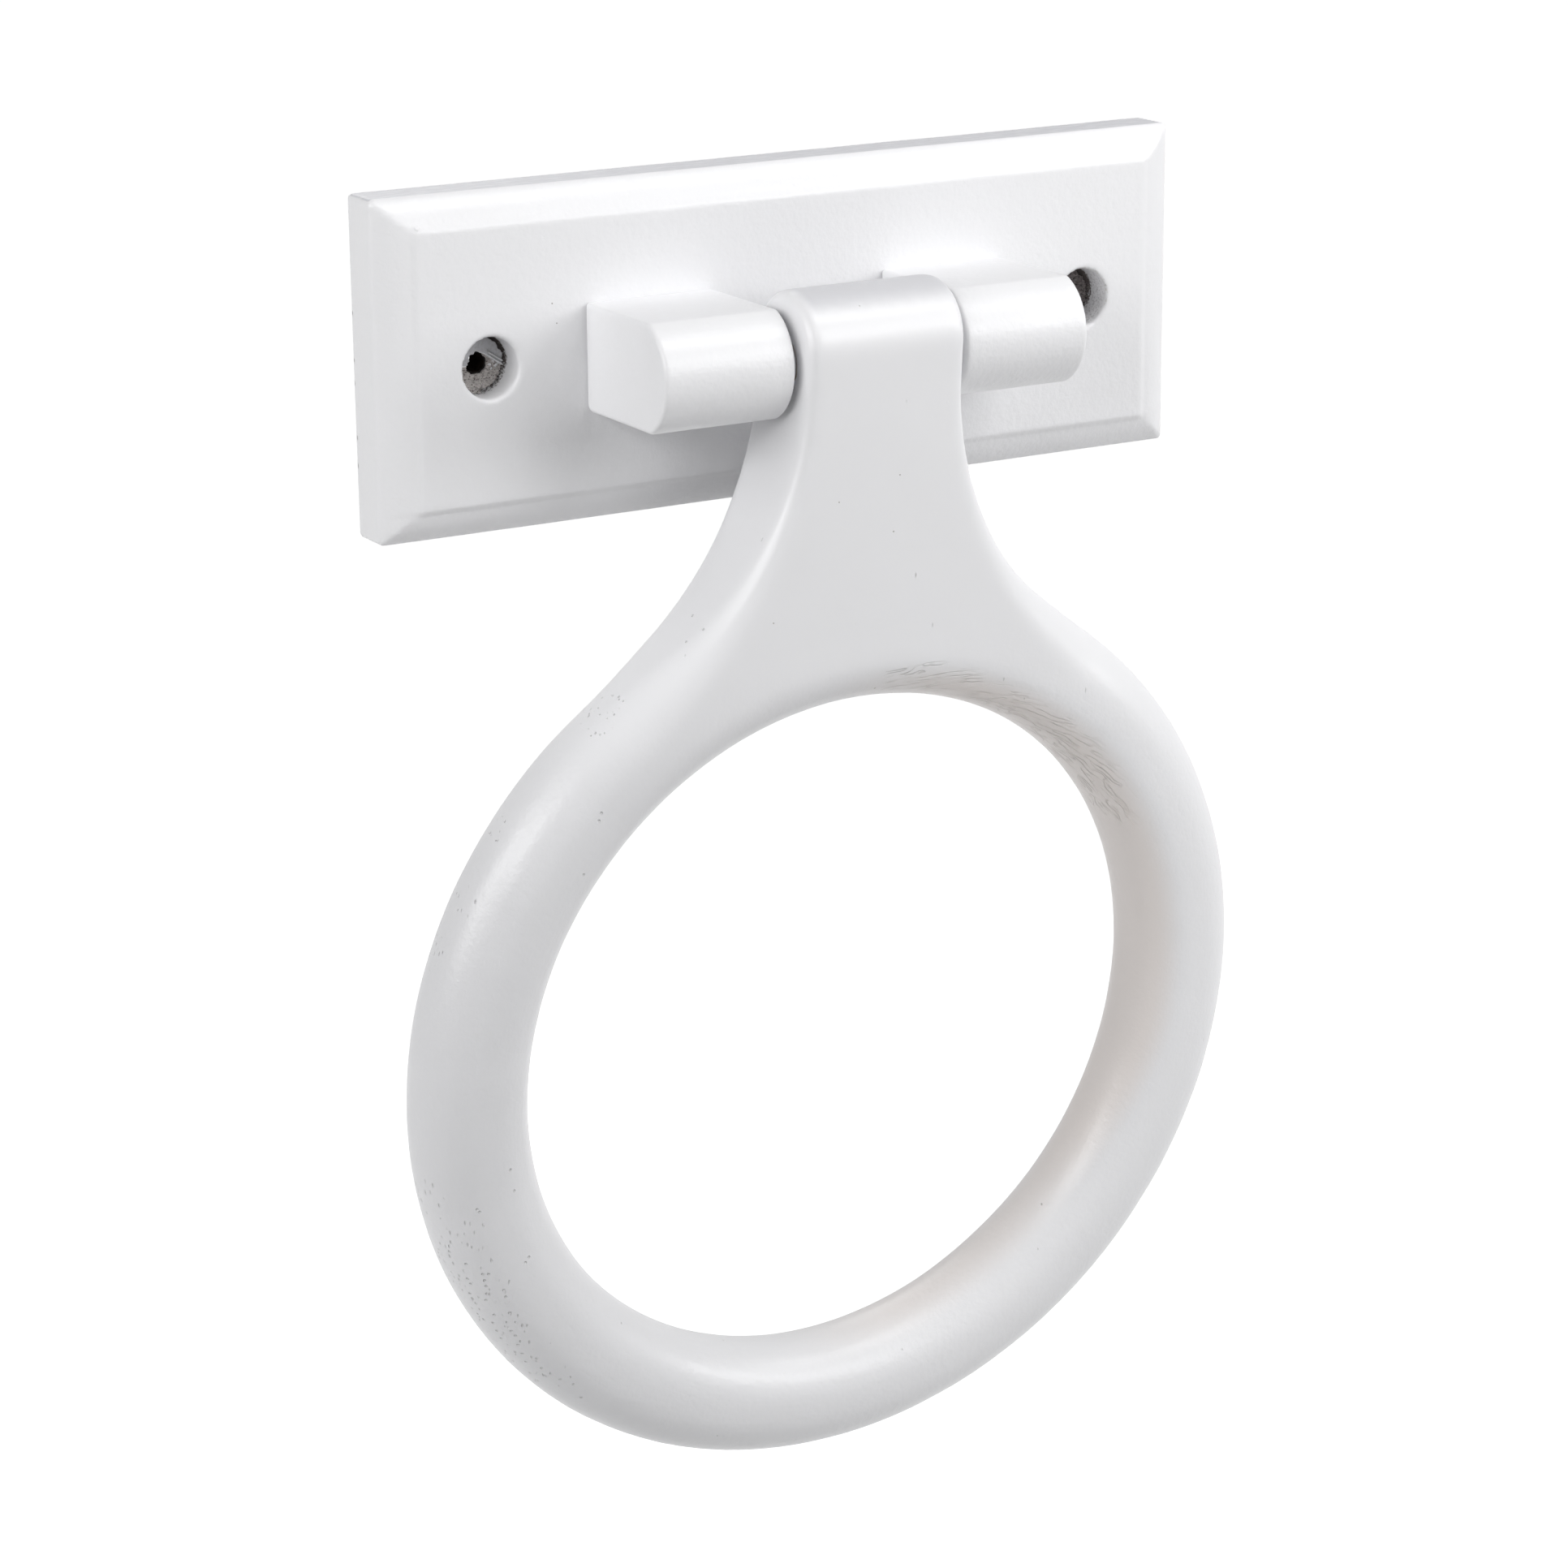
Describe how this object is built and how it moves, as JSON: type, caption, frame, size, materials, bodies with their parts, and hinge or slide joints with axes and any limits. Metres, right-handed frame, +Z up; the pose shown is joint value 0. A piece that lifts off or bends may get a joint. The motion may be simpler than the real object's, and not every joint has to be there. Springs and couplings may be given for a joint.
{
  "type": "towel ring",
  "caption": "White painted wooden towel ring: a moulded wall plate with knuckles and a broad-necked ring that swings on a hidden pin.",
  "frame": {"origin": "on the plate's back, in the wall plane, midway between the two wall screw holes", "axes": "+X along the plate to the right as seen from the room, +Y into the wall, +Z up; the room lies towards -Y"},
  "size_m": [0.1904, 0.0483, 0.2696],
  "materials": {
    "painted_wood": "white satin paint over sanded wood",
    "painted_wood_ring": "white satin paint over sanded wood",
    "dowel": "bare hardwood dowel",
    "screw_steel": "zinc plated"
  },
  "bodies": {
    "bracket": {"backplate": "painted_wood", "knuckle_left": "painted_wood", "knuckle_right": "painted_wood", "hinge_pin": "dowel", "knuckle_screw_left": "screw_steel", "knuckle_screw_right": "screw_steel"},
    "ring": {"towel_ring": "painted_wood_ring"}
  },
  "joints": [
    {"name": "ring_swing", "type": "hinge", "parent": "bracket", "child": "ring", "pos_m": [0, -0.0371, 0], "axis": [-1, 0, 0], "range_deg": [-1.5, 190]}
  ]
}
